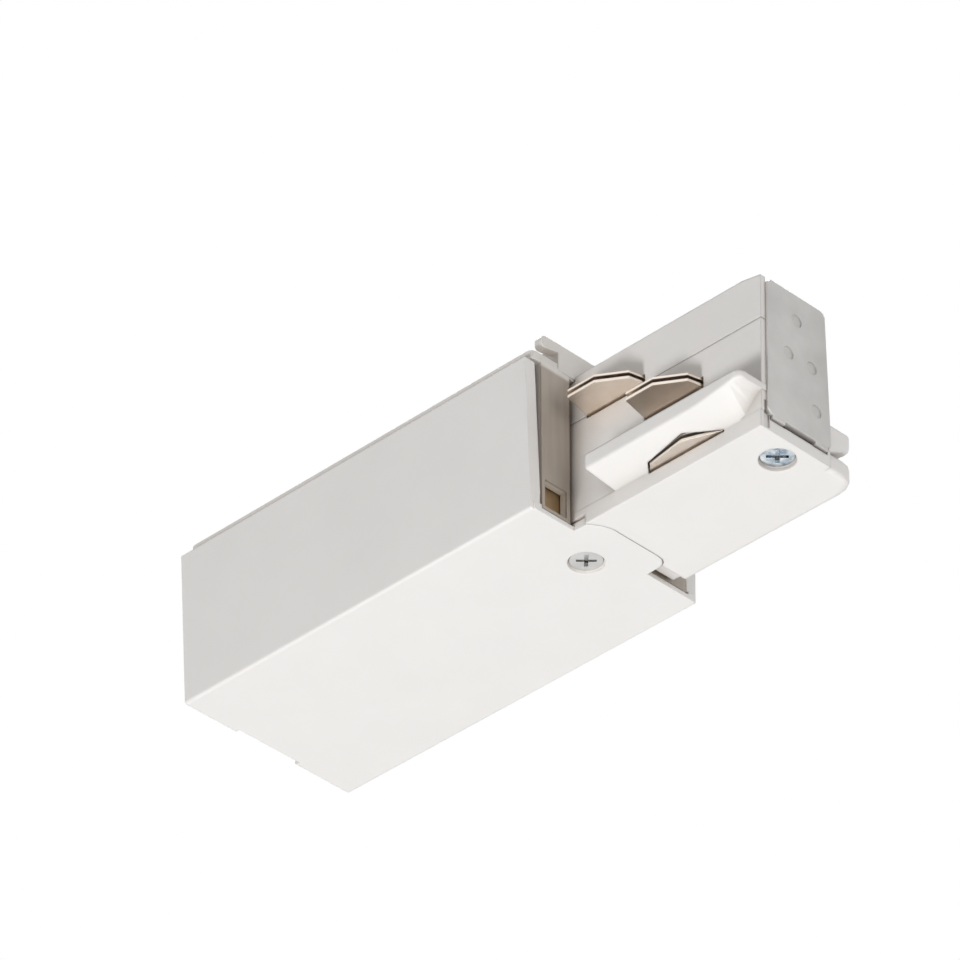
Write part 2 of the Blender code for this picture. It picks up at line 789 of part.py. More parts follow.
def make_cavity():
    """The lower housing's inside; its floor is higher over the cover's tongue."""
    start = block_start + front_wall
    step_place = cavity_start + seam + gap
    return prism("adapter_cavity",
                 [(start, earth_level - gap), (step_place, earth_level - gap), (step_place, block_floor),
                  (nose + past, block_floor), (nose + past, seam_height + past),
                  (start, seam_height + past)], near + block_wall, far - block_wall, "Y")


def blade_slot(name, side, start, level, top):
    """The opening in the block's side that a blade stands in."""
    face = adapter_middle + side * (block_width / 2)
    return side_box(name, (start - gap, start + blade_length + gap),
                    (face + side * past, face - side * (block_wall + past)), (level - gap, top))


def make_tunnel():
    """The passage for the earth strip, which enters the tail from its near side."""
    start = tail_start + tunnel_setback
    door_end = end_panel_back - gap
    end = block_start + front_wall + past
    deep = leg_low + leg_width + gap
    return prism("adapter_earth_tunnel",
                 [(start, near - past), (door_end, near - past), (door_end, near + block_wall - gap),
                  (end, near + block_wall - gap), (end, deep), (start, deep)],
                 earth_level - gap, earth_level + sheet + gap)


def nose_cuts():
    """What is cut from the lower housing's nose: the cap's room, its tabs' recesses and a notch."""
    tools = [cap_room("adapter_cap_room", nose_lip_height),
             box("adapter_nose_notch", (plate_end - gap, near + nose_notch[0], gap),
                 (overall_length, near + nose_notch[1], nose_lip_height + past))]
    for index, place in enumerate(cap_tab_places):
        across = adapter_middle + place
        half = cap_tab_width / 2 + gap
        tools.append(box(f"adapter_tab_recess_{index + 1}",
                         (nose, across - half, cap_foot - cap_tab_height - gap),
                         (overall_length, across + half, nose_lip_height + past)))
    return tools


def make_adapter_lower():
    housing = block_half("adapter_lower", block_foot, seam_height)
    tail = box("adapter_tail", (tail_start, near + gap, tail_floor),
               (block_start + bite, far - gap, tail_top))
    nose_room = box("adapter_nose_room", (plate_end, near - bite, -past),
                    (overall_length + past, far + bite, nose_lip_height))
    cut(housing, nose_room)
    add(housing, *make_plate(), make_ridge("adapter_ridge_near", -1), make_ridge("adapter_ridge_far", 1),
        tail)

    tongue_room = prism("adapter_tongue_room", tongue_outline(seam, past, block_start - bite),
                        -past, cover_floor + gap)
    strip_door = box("adapter_strip_door",
                     (block_start - bite, leg_low, blade_1_level - 3 * gap),
                     (block_start + front_wall + bite, far - block_wall - gap, seam_height + past))
    cut(housing, tongue_room, *nose_cuts(), make_cavity(), strip_door, make_tunnel())

    leaves = leaf_pitch + leaf + gap
    cut(housing,
        blade_slot("adapter_blade_1_slot", -1, blade_1_start, blade_1_level, seam_height + past),
        blade_slot("adapter_blade_n_slot", 1, blade_1_start, blade_1_level, seam_height + past),
        blade_slot("adapter_blade_2_slot", -1, blade_2_start, blade_2_level, blade_2_level + leaves),
        blade_slot("adapter_blade_3_slot", 1, blade_2_start, blade_2_level, blade_2_level + leaves),
        prism("adapter_earth_slot", earth_outline(near + block_wall + past, gap),
              earth_level - gap, earth_level + leaves))

    place = (lock_screw_place, lock_middle)
    boss = round_bar("adapter_lock_boss", lock_boss, block_floor - gap, lock_boss_height, place)
    add(housing, boss)
    half = lock_plate_width / 2 + gap
    window = box("adapter_lock_window",
                 (lock_screw_place - half, far - block_wall - bite, lock_plate_level - lock_travel - gap),
                 (lock_screw_place + half, far + ridge_width + bite, ridge_top + bite))
    seat = screw_seat("adapter_lock_seat", place, lock_screw_sink, lock_boss_height + past)
    pilot = bore("adapter_pilot", big_shank, tail_floor - bite, tail_top + bite,
                 (cover_screw_place, adapter_middle))
    cut(housing, window, seat, pilot)
    return keep(housing, white)


def make_adapter_upper():
    foot = seam_height + seam
    housing = block_half("adapter_upper", foot, block_height)
    shoulder = box("adapter_upper_shoulder", (block_start - bite, near - bite, rim - gap),
                   (end_panel_face + step + gap, far + bite, block_height + past))
    cut(housing, shoulder)
    tail = box("adapter_upper_tail", (tail_start, near + 2 * gap, tail_roof),
               (block_start + bite, far - 2 * gap, terminal_top))
    add(housing, tail)
    slope = prism("adapter_nose_slope",
                  [(overall_length - block_nose_run, block_height), (overall_length + past, cap_top),
                   (overall_length + past, block_height + past),
                   (overall_length - block_nose_run - past, block_height + past)],
                  near - bite, far + bite, "Y")
    cavity = box("adapter_upper_cavity",
                 (block_start + front_wall, near + block_wall, foot - bite),
                 (nose + bite, far - block_wall, cap_top - block_roof))
    passage = box("adapter_upper_passage", (block_start - bite, leg_low, foot - bite),
                  (block_start + front_wall + bite, far - block_wall - gap, tail_roof + 2 * gap))
    top = blade_1_level + leaf_pitch + leaf + gap
    slots = [blade_slot(f"adapter_upper_slot_{name}", side, blade_1_start, foot - bite, top)
             for name, side in (("near", -1), ("far", 1))]
    holes = [bore(f"adapter_fixing_hole_{index + 1}", fixing_shank, tail_roof - bite, rim,
                  (fixing_place, adapter_middle + side * fixing_spread / 2))
             for index, side in enumerate((-1, 1))]
    cut(housing, cap_room("adapter_upper_cap_room", foot - bite), slope, cavity, passage, *slots, *holes)
    return keep(housing, white)


def make_end_cap():
    start = nose + seam
    cap = prism("adapter_end_cap",
                cap_outline(cap_foot, cap_top - step, cap_near_inset, wall_lip + seam, cap_corner),
                start, overall_length, "X")
    lumps = []
    for index, place in enumerate(cap_tab_places):
        across = adapter_middle + place
        lumps.append(box(f"cap_tab_{index + 1}",
                         (start + step, across - cap_tab_width / 2, cap_foot - cap_tab_height),
                         (overall_length - step, across + cap_tab_width / 2, cap_foot + bite)))
    dimples = []
    for index, (across, drop) in enumerate(cap_pin_places):
        place = (adapter_middle + across, cap_top - drop)
        lumps.append(box(f"cap_pin_{index + 1}",
                         (nose - cap_pin_length, place[0] - cap_pin / 2, place[1] - cap_pin / 2),
                         (nose + cap_thickness / 2, place[0] + cap_pin / 2, place[1] + cap_pin / 2)))
        ring = [(place[0] + dimple_radius * cos(number * pi / 8 + bore_turn),
                 place[1] + dimple_radius * sin(number * pi / 8 + bore_turn)) for number in range(16)]
        dimples.append(prism(f"cap_dimple_{index + 1}", ring, overall_length - dimple_depth,
                             overall_length + past, "X"))
    add(cap, *lumps)
    cut(cap, *dimples)
    return keep(cap, cap_grey)


def blade_outline(start, root, face, side):
    """A blade in plan, from inside the block out past its side face, chamfered towards the track."""
    reach = face + side * blade_reach
    end = start + blade_length
    return [(start, root), (start, face), (start + blade_lean, reach),
            (end - blade_nose, reach), (end - blade_lean / 2, face + side * blade_reach * blade_hip),
            (end, face), (end, root + side * step / 2)]


def earth_outline(root, spare=0.0):
    """The earth blade in plan: a low nib with slanted ends."""
    start = earth_start - spare
    end = earth_start + earth_length + spare
    reach = earth_reach + spare
    return [(start, root), (start, near), (start + earth_lean, near - reach * earth_shoulder),
            (end - earth_run, near - reach), (end - earth_run / 2, near - reach * earth_shoulder),
            (end, near), (end, root)]


def edge_line(points, width, side):
    """One edge of a strip that follows the points (x, y)."""
    return [(along, across + side * width / 2) for along, across in points]


def strip_outline(path, width, bump=(), side=-1):
    """A strip in plan, with a bump on one side of its straight end."""
    low = edge_line(path, width, -1)
    high = edge_line(path, width, 1)
    if side < 0:
        low[-1:] = bump
    else:
        high[-1:] = bump
    return low + high[::-1]


def tail_path(row):
    """The clamp tail of a strip, from its end under the cage to its first bend."""
    return [(cage_centre - cage_length / 2 - step * 4, row), (terminal_end + bite, row),
            (terminal_end + strip_bend, row)]


def second_leaf(name, start, end, root, side, level, outline):
    """The blade's upper leaf and the web that joins it to the lower one inside the block."""
    upper = prism(f"{name}_upper_leaf", outline, level + leaf_pitch, level + leaf_pitch + leaf)
    web = side_box(f"{name}_web", (start + gap, end - gap), (root - side * sheet, root + side * step),
                   (level + sheet / 2, level + leaf_pitch + leaf / 2))
    return upper, web


def line_contact(name, row, leg, side, start):
    """A phase or neutral contact: clamp tail, leg into the block and blade through its side."""
    face = near if side < 0 else far
    root = leg + side * leg_width / 2
    path = tail_path(row) + [(tail_start + 2 * gap, leg)]
    blade = blade_outline(start, root, face, side)
    end = start + blade_length
    hair = step / 2
    if start == blade_1_start:
        level = blade_1_level
        contact = prism(name, strip_outline(path + [(end, leg)], leg_width, blade, side), level, strip_top)
    else:
        level = blade_2_level
        contact = prism(name, strip_outline(path + [(drop_place, leg)], leg_width), blade_1_level, strip_top)
        drop = box(f"{name}_drop",
                   (drop_place - sheet - hair, leg - leg_width / 2 + hair, level + hair),
                   (drop_place - hair, leg + leg_width / 2 - hair, strip_top - hair))
        run = prism(f"{name}_run",
                    strip_outline([(drop_place - sheet - step, leg), (end, leg)], leg_width, blade, side),
                    level, level + sheet)
        add(contact, drop, run)
    tab = box(f"{name}_tab",
              (tail_path(row)[0][0] - step, row - tail_width / 2, blade_1_level + hair),
              (tail_path(row)[1][0], row + tail_width / 2, strip_top - hair))
    root_line = blade_outline(start, root - side * sheet, face, side)
    add(contact, tab, *second_leaf(name, start, end, root, side, level, root_line))
    return keep(contact, nickel)


def make_earth_contact():
    """The earth strip drops behind the window and crosses under the adapter into the near ridge."""
    row = pole_rows[0]
    across = (window_low + window_high) / 2
    hair = step / 2
    contact = prism("contact_pe",
                    strip_outline(tail_path(row) + [(tail_start, across), (earth_drop, across)], tail_width),
                    blade_1_level, strip_top)
    leg_high = leg_low + leg_width
    crossing = earth_drop - earth_crossing
    end = earth_start + earth_length
    bow = earth_outline(leg_low + step)
    floor_strip = prism("earth_crossing",
                        [(crossing, window_low), (earth_drop, window_low), (earth_drop, leg_low),
                         (earth_start, leg_low), *bow[1:-1], (end, leg_low - hair), (end, leg_high),
                         (crossing, leg_high)],
                        earth_level, earth_level + sheet)
    fall = box("earth_drop", (earth_drop - sheet, window_low + hair, earth_level + hair),
               (earth_drop - hair, window_high - hair, strip_top - hair))
    add(contact, fall, floor_strip,
        *second_leaf("earth", earth_start, end, leg_low, -1, earth_level, earth_outline(leg_low + sheet)))
    return keep(contact, brass)


def make_terminal_block():
    block = box("terminal_block", (terminal_start, -terminal_side, terminal_foot),
                (terminal_end, terminal_side, terminal_top))
    row = pole_rows[0]
    half = cage_width / 2 + gap
    thread = terminal_shank + running_gap
    pocket = terminal_head + running_gap
    cavities = [
        box("terminal_cavity", (cage_centre - cage_length / 2 - gap, row - half, cage_cavity),
            (cage_centre + cage_length / 2 + gap, row + half, terminal_top + past)),
        box("terminal_wire_entry", (terminal_start - bite, row - wire_width / 2, cage_foot + cage_plate),
            (cage_centre, row + wire_width / 2, cage_foot + cage_plate + wire_height)),
        box("terminal_tab_slot", (cage_centre, row - tail_width / 2 - gap, blade_1_level - gap),
            (terminal_end + bite, row + tail_width / 2 + gap, strip_top + gap)),
        turned("terminal_screw_hole",
               [(0, cage_cavity + bite), (thread, cage_cavity + bite), (thread, head_pocket),
                (pocket, head_pocket), (pocket, terminal_foot - bite), (0, terminal_foot - bite)],
               (cage_centre, row, 0), 16, bore_turn),
    ]
    for cavity in cavities:
        repeat = cavity.modifiers.new("poles", "ARRAY")
        repeat.count = pole_count
        repeat.use_relative_offset = False
        repeat.use_constant_offset = True
        repeat.constant_offset_displace = (0, pole_pitch, 0)
    cut(block, *cavities)
    return keep(block, terminal_white)


def make_cage(pole, row):
    """The box-shaped clamp of one terminal, with a threaded plate at its foot."""
    half = cage_width / 2
    cage = box(f"terminal_cage_{pole}", (cage_centre - cage_length / 2, row - half, cage_foot),
               (cage_centre + cage_length / 2, row + half, cage_foot + cage_height))
    window = box(f"cage_{pole}_window",
                 (cage_centre - cage_length, row - half + cage_wall, cage_foot + cage_plate),
                 (cage_centre + cage_length, row + half - cage_wall,
                  cage_foot + cage_height - cage_plate))
    thread = bore(f"cage_{pole}_thread", terminal_shank, cage_foot - bite, cage_foot + cage_plate + bite,
                  (cage_centre, row))
    cut(cage, window, thread)
    keep(cage, brass)


def make_terminal_screw(pole, row):
    place = (cage_centre, row, head_pocket - running_gap - terminal_head_height)
    screw = screw_body(f"terminal_screw_{pole}", terminal_head, terminal_head_height,
                       terminal_shank, blade_1_level - gap - place[2], place, 0, 16)
    half = terminal_slot / 2
    slot = box(f"terminal_slot_{pole}", (-terminal_head - gap, -half, -half),
               (terminal_head + gap, half, terminal_slot), place, (0, 0, pi / pole_count * pole))
    cut(screw, slot)
    keep(screw, zinc, True)


def make_lock():
    place = (lock_screw_place, lock_middle, lock_screw_sink)
    screw = screw_body("lock_screw", big_head, big_rim, big_shank, lock_screw_length, place,
                       big_cone * 0.5)
    cut(screw, *cross_cut("lock_screw_cross", big_head * 1.3, cross_width + step, cross_depth, place))
    keep(screw, zinc, True)
    half = lock_plate_width / 2
    top = lock_plate_level + lock_plate_thickness
    plate = box("lock_plate", (lock_screw_place - half, lock_middle - lock_plate_inner, lock_plate_level),
                (lock_screw_place + half, far + ridge_width - lock_plate_inset, top))
    thread = bore("lock_plate_thread", big_shank, lock_plate_level - bite, top + bite,
                  (lock_screw_place, lock_middle), 20)
    cut(plate, thread)
    keep(plate, zinc)


def make_fixings():
    for index, side in enumerate((-1, 1)):
        top = flange_top + gap + fixing_head_height
        name = f"adapter_screw_{index + 1}"
        place = (fixing_place, adapter_middle + side * fixing_spread / 2, top)
        profile = [(0, 0), (fixing_head * 0.8, 0), (fixing_head, -fixing_head_height * 0.5),
                   (fixing_head, -fixing_head_height), (fixing_shank, -fixing_head_height),
                   (fixing_shank, -fixing_length), (0, -fixing_length - fixing_shank)]
        screw = turned(name, profile, place, 16)
        cut(screw, *cross_cut(f"{name}_cross", fixing_head * 1.1, cross_width, cross_depth, place))
        keep(screw, zinc, True)


def make_clamp():
    top = clamp_level + clamp_thickness
    bar = prism("clamp_bar",
                rectangle((clamp_place - clamp_width / 2, -clamp_half_length),
                          (clamp_place + clamp_width / 2, clamp_half_length), clamp_corner, 3),
                clamp_level, top)
    reach = clamp_spread - clamp_post - tooth_gap
    tooth = prism("clamp_tooth",
                  [(clamp_place - tooth_half, top - 2 * step), (clamp_place + tooth_half, top - 2 * step),
                   (clamp_place, top + tooth_height)], -reach, reach, "Y")
    add(bar, tooth)
    for index, side in enumerate((-1, 1)):
        place = (clamp_place, side * clamp_spread, clamp_level - gap - clamp_head_height)
        hole = bore(f"clamp_hole_{index + 1}", clamp_shank, clamp_level - bite, top + bite, place[:2])
        cut(bar, hole)
        screw = screw_body(f"clamp_screw_{index + 1}", clamp_head, clamp_head_height, clamp_shank,
                           clamp_screw_length, place, 0, 16)
        cut(screw, *cross_cut(f"clamp_screw_cross_{index + 1}", clamp_head * 1.1, cross_width,
                              cross_depth, place))
        keep(screw, zinc, True)
    keep(bar, terminal_white)


make_cover()
make_cover_screw()
make_base_tray()
make_adapter_lower()
make_adapter_upper()
make_end_cap()
line_contact("contact_l1", pole_rows[1], legs[0], -1, blade_1_start)
line_contact("contact_l2", pole_rows[2], legs[1], -1, blade_2_start)
line_contact("contact_l3", pole_rows[3], legs[2], 1, blade_2_start)
line_contact("contact_n", pole_rows[4], legs[3], 1, blade_1_start)
make_earth_contact()
make_terminal_block()
for pole_number, pole_row in enumerate(pole_rows, 1):
    make_cage(pole_number, pole_row)
    make_terminal_screw(pole_number, pole_row)
make_lock()
make_fixings()
make_clamp()
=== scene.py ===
import json
import math

import bpy
import bmesh
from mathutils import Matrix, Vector

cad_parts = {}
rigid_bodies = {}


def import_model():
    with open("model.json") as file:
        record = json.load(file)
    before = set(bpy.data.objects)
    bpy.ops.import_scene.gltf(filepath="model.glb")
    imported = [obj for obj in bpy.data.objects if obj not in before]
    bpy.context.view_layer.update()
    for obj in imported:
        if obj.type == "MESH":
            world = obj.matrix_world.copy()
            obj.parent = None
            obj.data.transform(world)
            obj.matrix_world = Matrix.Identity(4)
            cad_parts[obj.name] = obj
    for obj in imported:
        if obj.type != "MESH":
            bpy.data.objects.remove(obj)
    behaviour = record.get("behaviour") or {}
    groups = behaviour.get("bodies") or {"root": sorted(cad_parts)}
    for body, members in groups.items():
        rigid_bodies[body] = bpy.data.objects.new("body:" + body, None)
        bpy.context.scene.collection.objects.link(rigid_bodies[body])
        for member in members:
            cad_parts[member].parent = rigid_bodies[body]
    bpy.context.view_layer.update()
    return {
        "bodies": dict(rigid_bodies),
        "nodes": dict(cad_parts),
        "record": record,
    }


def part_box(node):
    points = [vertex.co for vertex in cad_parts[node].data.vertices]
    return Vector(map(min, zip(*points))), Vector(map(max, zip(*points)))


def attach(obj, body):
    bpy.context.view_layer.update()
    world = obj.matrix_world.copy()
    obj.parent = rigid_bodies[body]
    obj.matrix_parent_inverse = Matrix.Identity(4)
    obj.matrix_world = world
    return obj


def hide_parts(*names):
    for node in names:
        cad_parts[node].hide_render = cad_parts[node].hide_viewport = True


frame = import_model()
print("frame loaded:", len(frame["nodes"]), "nodes")


# Helpers for objects, meshes, materials and nodes

def addObject(name, data):
    thing = bpy.data.objects.new(name, data)
    bpy.context.scene.collection.objects.link(thing)
    return thing


def meshFrom(shape, name):
    mesh = bpy.data.meshes.new(name)
    shape.to_mesh(mesh)
    shape.free()
    return mesh


def newMaterial(name):
    material = bpy.data.materials.new(name)
    material.use_nodes = True
    tree = material.node_tree
    return material, tree, tree.nodes["Principled BSDF"]


def newGroup(name, inputs, outputs, kind="ShaderNodeTree"):
    group = bpy.data.node_groups.new(name, kind)
    for way, sockets in (("INPUT", inputs), ("OUTPUT", outputs)):
        for title, value in sockets.items():
            group.interface.new_socket(title, in_out=way, socket_type=f"NodeSocket{value}")
    return group, group.nodes.new("NodeGroupInput"), group.nodes.new("NodeGroupOutput")


def useGroup(tree, group, **values):
    node = tree.nodes.new("ShaderNodeGroup")
    node.node_tree = group
    for name, value in values.items():
        node.inputs[name].default_value = value
    return node.outputs


def addNode(tree, kind, links=(), **values):
    # links: pairs of a socket of this node and its value or the output that feeds it; values: settings
    node = tree.nodes.new(kind)
    for name, value in values.items():
        setattr(node, name, value)
    for name, source in links:
        if isinstance(source, (bool, int, float, tuple)):
            node.inputs[name].default_value = source
        else:
            tree.links.new(source, node.inputs[name])
    return node


def calculate(tree, operation, first, second):
    return addNode(tree, "ShaderNodeMath", [(0, first), (1, second)], operation=operation).outputs[0]


def mapRange(tree, value, source=(0.0, 1.0), target=(0.0, 1.0)):
    return addNode(tree, "ShaderNodeMapRange",
                   [("Value", value), ("From Min", source[0]), ("From Max", source[1]),
                    ("To Min", target[0]), ("To Max", target[1])]).outputs["Result"]


def objectPlace(tree):
    return addNode(tree, "ShaderNodeTexCoord").outputs["Object"]


def stretched(tree, place, stretch):
    return addNode(tree, "ShaderNodeVectorMath", [(0, place), (1, stretch)],
                   operation="MULTIPLY").outputs["Vector"]


def addNoise(tree, place, scale, detail, roughness=0.5):
    return addNode(tree, "ShaderNodeTexNoise", [("Vector", place), ("Scale", scale), ("Detail", detail),
                                                ("Roughness", roughness)]).outputs["Fac"]


mixSockets = {"share": 0, "first": 6, "second": 7, "result": 2}     # of a Mix node set to colours


def mixColour(tree, share, first, second, blend="MIX"):
    mix = addNode(tree, "ShaderNodeMix", data_type="RGBA", blend_type=blend)
    for title, source in (("share", share), ("first", first), ("second", second)):
        socket = mix.inputs[mixSockets[title]]
        if isinstance(source, tuple):
            socket.default_value = (*source, 1)
        else:
            tree.links.new(source, socket)
    return mix.outputs[mixSockets["result"]]


def addRelief(tree, shader, height, strength, distance, normal):
    bump = addNode(tree, "ShaderNodeBump", [("Height", height), ("Strength", strength),
                                            ("Distance", distance), ("Normal", normal)])
    tree.links.new(bump.outputs["Normal"], shader.inputs["Normal"])


# The studio: a long lens below the ceiling piece, a pale floor far under it

view = {
    "azimuth": 44.56,              # degrees, round the object
    "elevation": -35.515,          # the camera looks up at the underside
    "distance": 1.0809,            # metres
    "lens": 273.2,                 # millimetres, and so is the sensor
    "sensor": 36,
    "clip": (0.05, 20),
    "lookAt": (0.00281, -0.01271, 0.015),
}

light = {
    "world": 0.30,
    "worldColour": (1.0, 0.98, 0.955),
    "lamps": {                     # watts, place, size
        "key": (8.9, (-0.109, -0.909, -0.927), 0.34),         # from below and in front
        "under": (3.4, (0.0, 0.1, -1.3), 0.9),
        "end": (6.4, (1.25, -0.1, -0.25), 0.9),               # on the faces that look to the track
        "above": (12.0, (-0.5, 0.6, 1.1), 0.8),               # for the views from behind and from above
    },
    "floorReach": 6,
    "floorLevel": -1.6,
    "floorColour": (0.86, 0.86, 0.85),
    "floorRoughness": 0.8,
    "floorWhite": 0.8,             # share of plain white in what the camera sees of the floor
}


def placeCamera():
    azimuth = math.radians(view["azimuth"])
    elevation = math.radians(view["elevation"])
    back = Vector((math.sin(azimuth) * math.cos(elevation), -math.cos(azimuth) * math.cos(elevation),
                   math.sin(elevation)))
    lens = bpy.data.cameras.new("photoView")
    lens.lens = view["lens"]
    lens.sensor_width = view["sensor"]
    lens.clip_start, lens.clip_end = view["clip"]
    camera = addObject("photoView", lens)
    camera.location = Vector(view["lookAt"]) + back * view["distance"]
    camera.rotation_euler = (math.pi / 2 - elevation, 0, azimuth)
    bpy.context.scene.camera = camera


def placeLamp(name, watts, place, size):
    panel = bpy.data.lights.new(name, "AREA")
    panel.energy = watts
    panel.shape = "DISK"
    panel.size = size
    lamp = addObject(name, panel)
    lamp.location = place
    lamp.rotation_euler = (-Vector(place)).to_track_quat("-Z", "Y").to_euler()


def makeWorld():
    # A soft warm dome lights the object; the camera, mirrors and clear plastic see plain white
    world = bpy.data.worlds.new("studio")
    bpy.context.scene.world = world
    world.use_nodes = True
    tree = world.node_tree
    tree.nodes.clear()
    rays = addNode(tree, "ShaderNodeLightPath").outputs
    mirrored = calculate(tree, "MAXIMUM", rays["Is Camera Ray"], rays["Is Glossy Ray"])
    seen = calculate(tree, "MAXIMUM", mirrored, rays["Is Transmission Ray"])
    dome = addNode(tree, "ShaderNodeBackground", [("Color", (*light["worldColour"], 1)),
                                                  ("Strength", light["world"])])
    plain = addNode(tree, "ShaderNodeBackground", [("Color", (1, 1, 1, 1)), ("Strength", 1)])
    mix = addNode(tree, "ShaderNodeMixShader", [(0, seen), (1, dome.outputs[0]), (2, plain.outputs[0])])
    addNode(tree, "ShaderNodeOutputWorld", [("Surface", mix.outputs[0])])


def makeFloor():
    # Metal mirrors it as plain white, and the camera sees it as nearly that
    shape = bmesh.new()
    bmesh.ops.create_grid(shape, x_segments=1, y_segments=1, size=light["floorReach"])
    floor = addObject("floor", meshFrom(shape, "floor"))
    floor.location = (0, 0, light["floorLevel"])
    paint, tree, shader = newMaterial("floorPaint")
    shader.inputs["Base Color"].default_value = (*light["floorColour"], 1)
    shader.inputs["Roughness"].default_value = light["floorRoughness"]
    rays = addNode(tree, "ShaderNodeLightPath").outputs
    plain = addNode(tree, "ShaderNodeEmission")
    seen = calculate(tree, "MULTIPLY", rays["Is Camera Ray"], light["floorWhite"])
    white = calculate(tree, "MAXIMUM", seen, rays["Is Glossy Ray"])
    mix = addNode(tree, "ShaderNodeMixShader", [(0, white), (1, shader.outputs["BSDF"]),
                                                (2, plain.outputs["Emission"])])
    tree.links.new(mix.outputs["Shader"], tree.nodes["Material Output"].inputs["Surface"])
    floor.data.materials.append(paint)


placeCamera()
makeWorld()
makeFloor()
for lampName, lamp in light["lamps"].items():
    placeLamp(lampName, *lamp)
bpy.context.scene.view_settings.view_transform = "Standard"
print("studio ready")


# Shared effects, each a group of shader nodes

effects = {
    "samples": 6,                  # rays for each soft edge and each crevice
    "cloudSize": 90.0,
    "cloudDetail": 4.0,
    "cloudRoughness": 0.55,
    "cloudRange": (0.32, 0.68),    # of the noise, spread from no cloud to full cloud
    "grainDetail": 2.0,
    "grainRoughness": 0.6,
    "edgeRange": (0.97, 0.75),     # cosine of the turn from the face, from no edge to full edge
    "creviceShadeRange": (0.95, 0.20),  # open share of the surroundings, from no painted shade to full painted shade
    "metalDetail": 3.0,
    "blotchRange": (0.3, 0.7),
}


def makeMouldedSkin():
    # Fine spark-eroded grain and the faint clouds of a moulded plastic face
    group, given, out = newGroup("mouldedSkin", {"grainSize": "Float", "cloudSize": "Float"},
                                 {"cloud": "Float", "grain": "Float"})
    place = objectPlace(group)
    clouds = addNoise(group, place, given.outputs["cloudSize"], effects["cloudDetail"],
                      effects["cloudRoughness"])
    grain = addNoise(group, place, given.outputs["grainSize"], effects["grainDetail"],
                     effects["grainRoughness"])
    group.links.new(mapRange(group, clouds, effects["cloudRange"]), out.inputs["cloud"])
    group.links.new(grain, out.inputs["grain"])
    return group


def makeSoftEdge():
    # Rounds sharp edges in the shading and marks where they are
    group, given, out = newGroup("softEdge", {"width": "Float"}, {"normal": "Vector", "edge": "Float"})
    bevel = addNode(group, "ShaderNodeBevel", [("Radius", given.outputs["width"])],
                    samples=effects["samples"]).outputs["Normal"]
    facing = addNode(group, "ShaderNodeNewGeometry").outputs["True Normal"]
    match = addNode(group, "ShaderNodeVectorMath", [(0, bevel), (1, facing)], operation="DOT_PRODUCT")
    group.links.new(bevel, out.inputs["normal"])
    group.links.new(mapRange(group, match.outputs["Value"], effects["edgeRange"]), out.inputs["edge"])
    return group


def makeCreviceShade():
    # Painted shade: where other faces stand close, the colour is darkened to the warm, dull tone of shade
    # between white walls
    group, given, out = newGroup("creviceShade", {"reach": "Float"}, {"depth": "Float"})
    near = addNode(group, "ShaderNodeAmbientOcclusion", [("Distance", given.outputs["reach"])],
                   samples=effects["samples"])
    group.links.new(mapRange(group, near.outputs["AO"], effects["creviceShadeRange"]), out.inputs["depth"])
    return group


def makeRolledMetal():
    # Rolling lines along one direction and the blotches of a thin plating, which on the lock screw stand
    # in for painted reflections
    group, given, out = newGroup("rolledMetal", {"stretch": "Vector", "blotchSize": "Float"},
                                 {"lines": "Float", "blotchAndReflection": "Float"})
    place = objectPlace(group)
    lines = addNoise(group, stretched(group, place, given.outputs["stretch"]), 1.0, effects["metalDetail"])
    blotchAndReflection = addNoise(group, place, given.outputs["blotchSize"], effects["metalDetail"])
    group.links.new(lines, out.inputs["lines"])
    group.links.new(mapRange(group, blotchAndReflection, effects["blotchRange"]), out.inputs["blotchAndReflection"])
    return group


skinGroup = makeMouldedSkin()
edgeGroup = makeSoftEdge()
creviceShadeGroup = makeCreviceShade()
metalGroup = makeRolledMetal()
print("shader groups ready")
